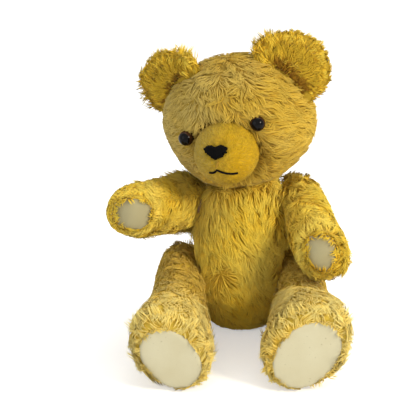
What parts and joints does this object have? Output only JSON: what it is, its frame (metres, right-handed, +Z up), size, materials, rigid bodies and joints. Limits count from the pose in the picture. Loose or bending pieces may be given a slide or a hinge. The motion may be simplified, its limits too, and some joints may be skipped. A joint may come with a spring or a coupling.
{
  "type": "jointed plush teddy bear",
  "caption": "Seated, threadbare teddy bear of golden plush with cream pads; head, arms and legs turn on disc joints.",
  "frame": {"origin": "centre of the flat seat, on the floor", "axes": "+Z up, the bear faces -Y, its own left side is at +X"},
  "size_m": [0.2075, 0.2112, 0.2731],
  "materials": {
    "golden_plush": "matted golden pile",
    "faded_plush": "short faded pile",
    "short_pile": "short velvety pile",
    "brown_cloth": "brown napped cloth",
    "cream_cloth": "worn smooth cloth",
    "black_thread": "embroidery thread",
    "dark_glass": "polished",
    "board": "pressed board",
    "steel": "plain steel"
  },
  "bodies": {
    "torso": {"torso": "golden_plush", "neck_torso_disc": "board", "neck_torso_washer": "steel", "neck_pin": "steel", "shoulder_right_torso_disc": "board", "shoulder_right_torso_washer": "steel", "shoulder_right_pin": "steel", "hip_right_torso_disc": "board", "hip_right_torso_washer": "steel", "hip_right_pin": "steel", "shoulder_left_torso_disc": "board", "shoulder_left_torso_washer": "steel", "shoulder_left_pin": "steel", "hip_left_torso_disc": "board", "hip_left_torso_washer": "steel", "hip_left_pin": "steel"},
    "head": {"head": "faded_plush", "muzzle": "short_pile", "nose": "black_thread", "lip_stitch": "black_thread", "mouth_stitch": "black_thread", "eye_right": "dark_glass", "eye_left": "dark_glass", "ear_right": "golden_plush", "ear_left": "golden_plush", "ear_lining_right": "brown_cloth", "ear_lining_left": "brown_cloth", "neck_head_disc": "board", "neck_head_washer": "steel"},
    "arm_right": {"arm_right": "golden_plush", "paw_pad_right": "cream_cloth", "shoulder_right_arm_disc": "board", "shoulder_right_arm_washer": "steel"},
    "leg_right": {"leg_right": "golden_plush", "sole_pad_right": "cream_cloth", "hip_right_leg_disc": "board", "hip_right_leg_washer": "steel"},
    "arm_left": {"arm_left": "golden_plush", "paw_pad_left": "cream_cloth", "shoulder_left_arm_disc": "board", "shoulder_left_arm_washer": "steel"},
    "leg_left": {"leg_left": "golden_plush", "sole_pad_left": "cream_cloth", "hip_left_leg_disc": "board", "hip_left_leg_washer": "steel"}
  },
  "joints": [
    {"name": "neck", "type": "hinge", "parent": "torso", "child": "head", "pos_m": [0.003, 0, 0.132], "axis": [-0.1561, 0.0698, 0.9853], "continuous": true},
    {"name": "shoulder_right", "type": "hinge", "parent": "torso", "child": "arm_right", "pos_m": [-0.036, 0, 0.108], "axis": [-0.9237, 0.3732, 0.0872], "range_deg": [-45, 21]},
    {"name": "shoulder_left", "type": "hinge", "parent": "torso", "child": "arm_left", "pos_m": [0.036, 0, 0.108], "axis": [-0.9907, -0.1041, -0.0872], "range_deg": [-3, 54]},
    {"name": "hip_right", "type": "hinge", "parent": "torso", "child": "leg_right", "pos_m": [-0.034, 0.005, 0.0355], "axis": [-1, 0, 0], "range_deg": [-150, 14]},
    {"name": "hip_left", "type": "hinge", "parent": "torso", "child": "leg_left", "pos_m": [0.034, 0.005, 0.0355], "axis": [-1, 0, 0], "range_deg": [-150, 3]}
  ]
}
